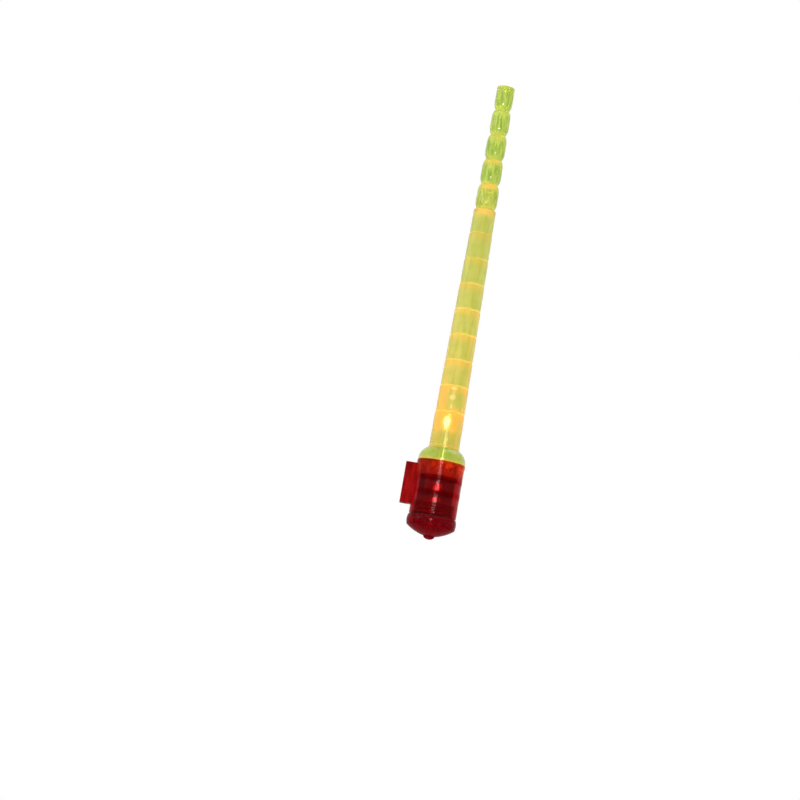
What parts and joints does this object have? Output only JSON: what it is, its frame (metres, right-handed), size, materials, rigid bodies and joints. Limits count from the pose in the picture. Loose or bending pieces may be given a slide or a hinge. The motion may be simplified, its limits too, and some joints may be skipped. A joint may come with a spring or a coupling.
{
  "type": "spoke wheel light",
  "caption": "Slender translucent light stick on a red battery housing that clips onto a wheel spoke, with a screw cap over its button cells and a motion switch.",
  "frame": {"origin": "on the axis of the spoke in its clip, halfway along the clip", "axes": "+Z along the spoke towards the tip of the light stick, +X from the clip to the axis of the housing"},
  "size_m": [0.0209, 0.0174, 0.1661],
  "materials": {
    "glow_plastic": "translucent fluorescent yellow-green",
    "red_plastic": "transparent deep red",
    "seal_rubber": "matt",
    "lamp_resin": "clear amber",
    "tinned_steel": "tinned",
    "solder": "bright solder",
    "board": "green solder mask",
    "black_resin": "satin",
    "contact_brass": "bright stamped",
    "spring_steel": "nickel plated wire",
    "cell_steel": "nickel plated",
    "cell_nylon": "satin"
  },
  "bodies": {
    "lamp_body": {"light_stick": "glow_plastic", "battery_housing": "red_plastic", "led_lens": "lamp_resin", "led_leads": "tinned_steel", "solder_joints": "solder", "circuit_board": "board", "flasher_chip": "black_resin", "resistors": "black_resin", "motion_switch_base": "black_resin", "motion_switch_can": "tinned_steel", "board_contact": "contact_brass", "contact_strip": "contact_brass", "upper_cell_can": "cell_steel", "upper_cell_seal": "cell_nylon", "upper_cell_cap": "cell_steel", "lower_cell_can": "cell_steel", "lower_cell_seal": "cell_nylon", "lower_cell_cap": "cell_steel"},
    "cap_ring": {"cap_o_ring": "seal_rubber"},
    "cap": {"end_cap": "red_plastic", "contact_cup": "contact_brass", "contact_spring": "spring_steel"},
    "switch_ball": {"motion_switch_ball": "contact_brass"}
  },
  "joints": [
    {"name": "cap_travel", "type": "slide", "parent": "lamp_body", "child": "cap_ring", "axis": [0, 0, -1], "range_m": [0, 0.004]},
    {"name": "cap_twist", "type": "hinge", "parent": "cap_ring", "child": "cap", "pos_m": [0.0106, 0, -0.01035], "axis": [0, 0, -1], "range_deg": [0, 1440]},
    {"name": "ball_roll", "type": "slide", "parent": "lamp_body", "child": "switch_ball", "axis": [0, 0, 1], "range_m": [0, 0.0024]}
  ],
  "couplings": [
    {"joint": "cap_travel", "follows": "cap_twist", "m_per_rad": 0.00015915}
  ]
}
